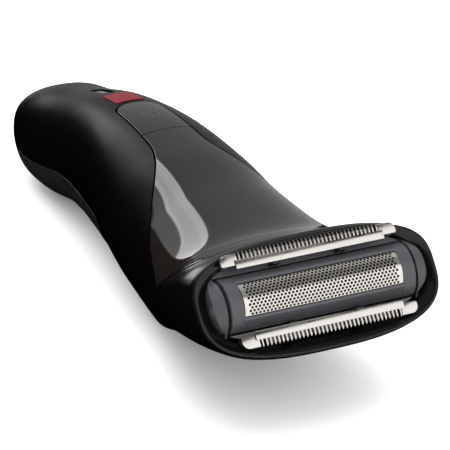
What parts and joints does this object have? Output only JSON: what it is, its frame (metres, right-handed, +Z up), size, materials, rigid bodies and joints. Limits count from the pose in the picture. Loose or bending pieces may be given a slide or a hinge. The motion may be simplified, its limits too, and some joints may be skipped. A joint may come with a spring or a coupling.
{
  "type": "foil shaver",
  "caption": "Battery body shaver with a curved handle and a wide oval head: floating arched foil between two comb trimmers, push button on top.",
  "frame": {"origin": "middle of the footprint, on the surface that the shaver lies on", "axes": "+Y from the shaving head to the tail, +X across the handle, +Z up, with the power button on top"},
  "size_m": [0.0594, 0.1708, 0.0417],
  "materials": {
    "shell_black": "moulded ABS, black, satin gloss",
    "cover_dark": "fine-textured soft-touch moulding, dark grey brown",
    "panel_taupe": "high-gloss moulding, dark taupe",
    "badge_red": "plain red plaque",
    "lens_smoke": "smoked light guide",
    "led_clear": "clear LED body",
    "inner_plastic": "glass-filled plastic, dark grey",
    "seal_rubber": "silicone seal, black",
    "motor_steel": "plated steel can and ground shaft",
    "drive_nylon": "natural acetal",
    "cell_sleeve": "shrink sleeve, green",
    "contact_nickel": "nickel-plated spring steel",
    "board_green": "epoxy board with green mask",
    "head_black": "high-gloss black moulding",
    "bezel_grey": "satin dark grey moulding",
    "foil_steel": "electroformed nickel foil, perforated",
    "blade_steel": "ground and polished blade steel"
  },
  "bodies": {
    "handle": {"body_shell": "shell_black", "rear_cover": "cover_dark", "front_panel": "panel_taupe", "badge": "badge_red", "indicator_lens": "lens_smoke", "indicator_led": "led_clear", "button_seal": "seal_rubber", "chassis": "inner_plastic", "motor": "motor_steel", "neck_plate": "inner_plastic", "neck_seal": "seal_rubber", "drive_seal": "seal_rubber", "battery_cell": "cell_sleeve", "battery_contacts": "contact_nickel", "circuit_board": "board_green", "tact_switch": "inner_plastic", "board_screws": "contact_nickel", "charging_socket": "inner_plastic"},
    "button": {"power_button": "panel_taupe", "button_plunger": "inner_plastic"},
    "rotor": {"motor_shaft": "motor_steel", "eccentric_cam": "drive_nylon"},
    "head": {"head_housing": "head_black", "head_bezel": "bezel_grey", "head_carrier": "inner_plastic", "head_latches": "inner_plastic", "cassette_springs": "contact_nickel", "upper_comb": "blade_steel", "lower_comb": "blade_steel"},
    "foil_cassette": {"foil_frame": "bezel_grey", "foil": "foil_steel"},
    "inner_blade": {"inner_cutter": "blade_steel"},
    "oscillator": {"drive_bridge": "drive_nylon", "upper_cutter": "blade_steel", "lower_cutter": "blade_steel"}
  },
  "joints": [
    {"name": "button_press", "type": "slide", "parent": "handle", "child": "button", "axis": [0, 0, -1], "range_m": [0, 0.0005], "stiffness_N_per_m": 900, "springref_m": -0.0005},
    {"name": "motor_spin", "type": "hinge", "parent": "handle", "child": "rotor", "pos_m": [0, -0.05, 0.0245], "axis": [0, 1, 0], "continuous": true},
    {"name": "head_release", "type": "slide", "parent": "handle", "child": "head", "axis": [0, -1, 0], "range_m": [0, 0.018]},
    {"name": "foil_float", "type": "slide", "parent": "head", "child": "foil_cassette", "axis": [0, 0.788, -0.6157], "range_m": [0, 0.0012], "stiffness_N_per_m": 700, "springref_m": -0.001},
    {"name": "blade_sweep", "type": "slide", "parent": "head", "child": "oscillator", "axis": [1, 0, 0], "range_m": [-0.001, 0.001]},
    {"name": "inner_sweep", "type": "slide", "parent": "foil_cassette", "child": "inner_blade", "axis": [1, 0, 0], "range_m": [-0.001, 0.001]}
  ],
  "couplings": [
    {"joint": "inner_sweep", "follows": "blade_sweep", "ratio": 1}
  ]
}
